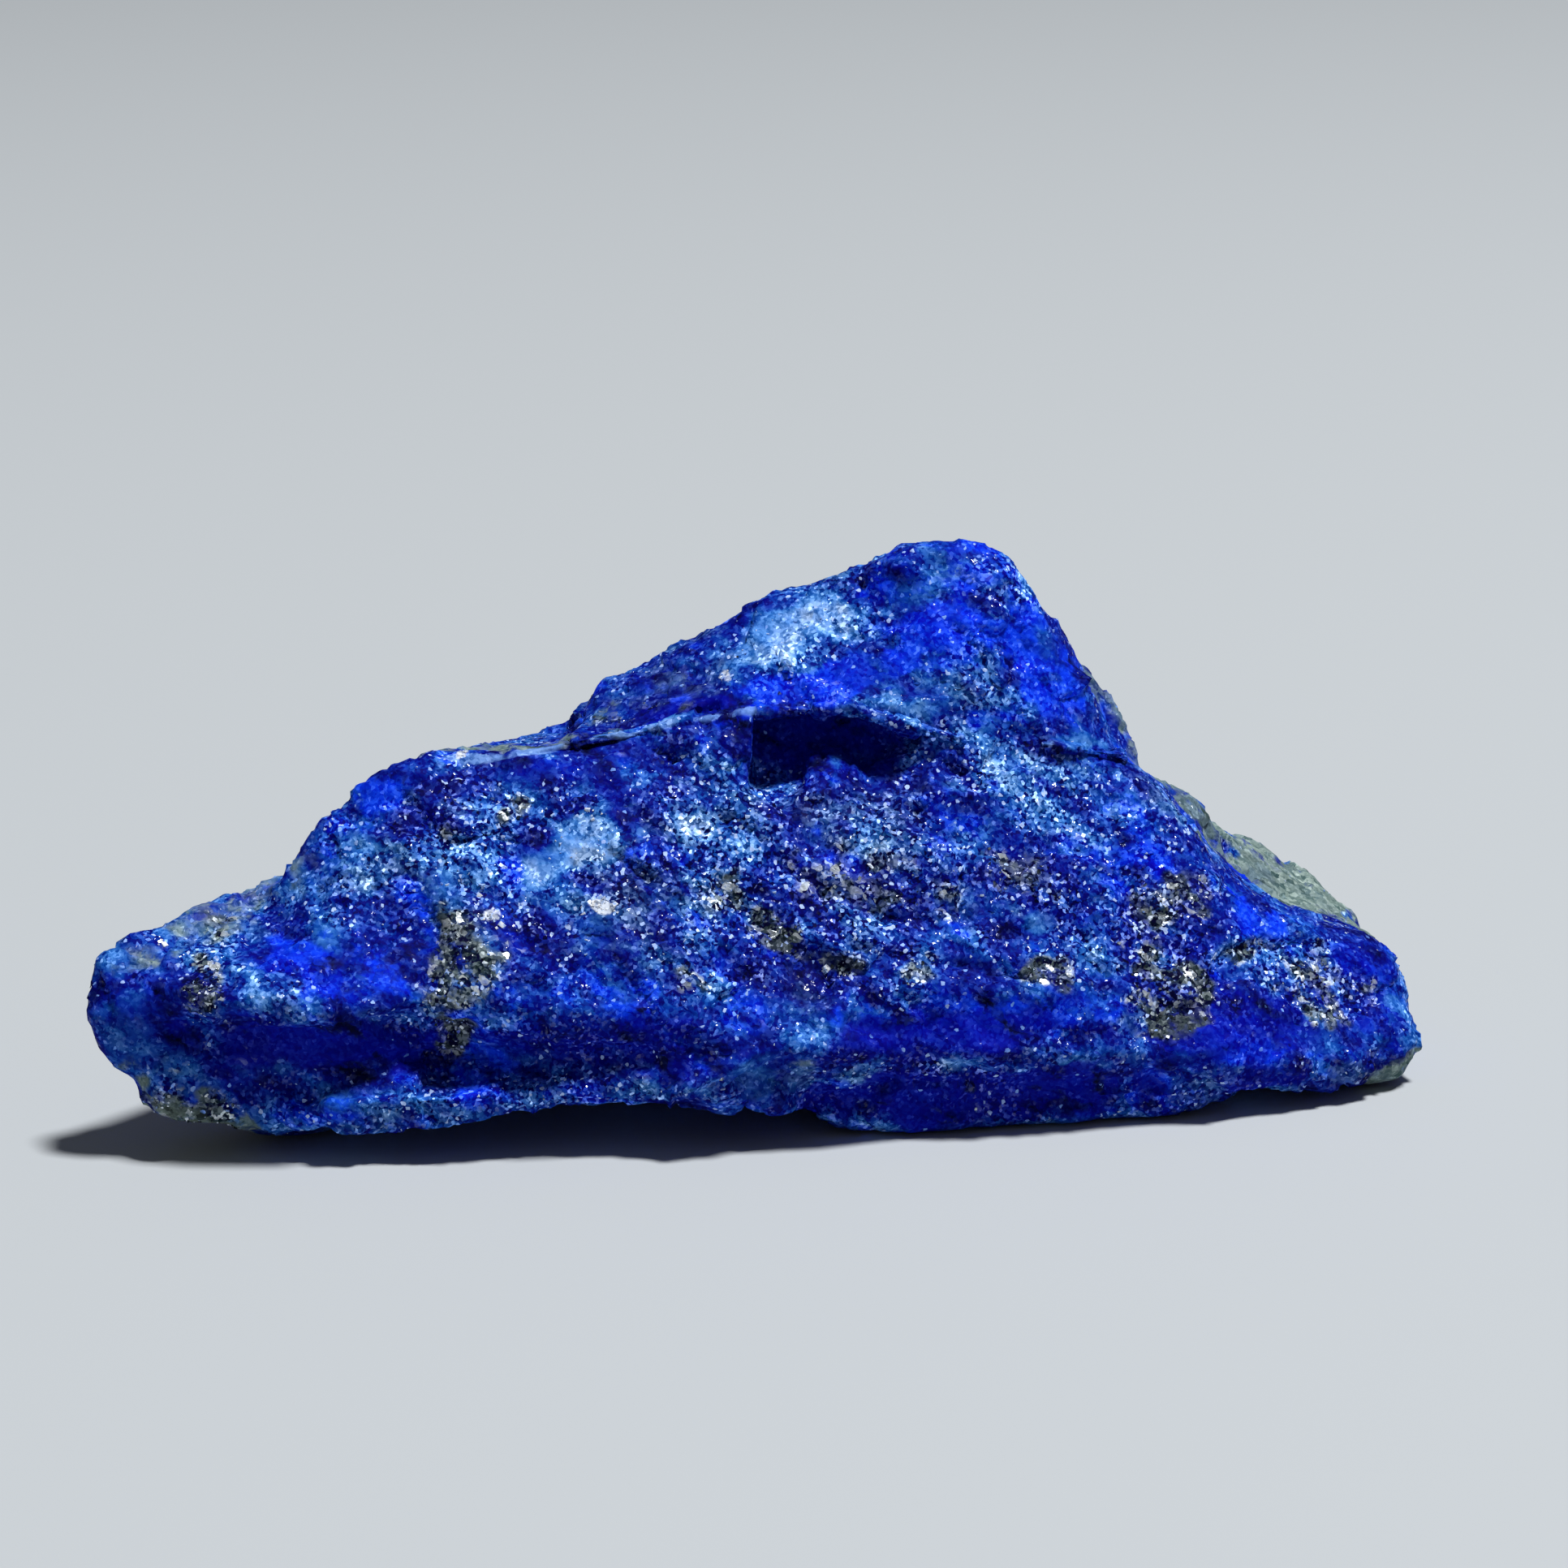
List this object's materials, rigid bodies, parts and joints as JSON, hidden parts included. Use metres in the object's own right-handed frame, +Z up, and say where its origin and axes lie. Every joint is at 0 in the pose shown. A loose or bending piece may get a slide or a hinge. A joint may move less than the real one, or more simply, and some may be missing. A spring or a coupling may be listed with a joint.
{
  "type": "lapis lazuli specimen",
  "caption": "Rough chip of lapis lazuli: a broad hackly blue front with a pointed summit behind its crest, a low worn toe, and a grey-green matrix rind at the back.",
  "frame": {"origin": "middle of the bounding box, on the surface that the stone rests on", "axes": "+X along the stone's length from the worn toe to the blunt end, -Y towards the broad blue front, +Z up"},
  "size_m": [0.039, 0.0192, 0.0163],
  "materials": {
    "lapis": "rough, sugary broken surface"
  },
  "bodies": {
    "root": {"lapis_stone": "lapis"}
  },
  "joints": []
}
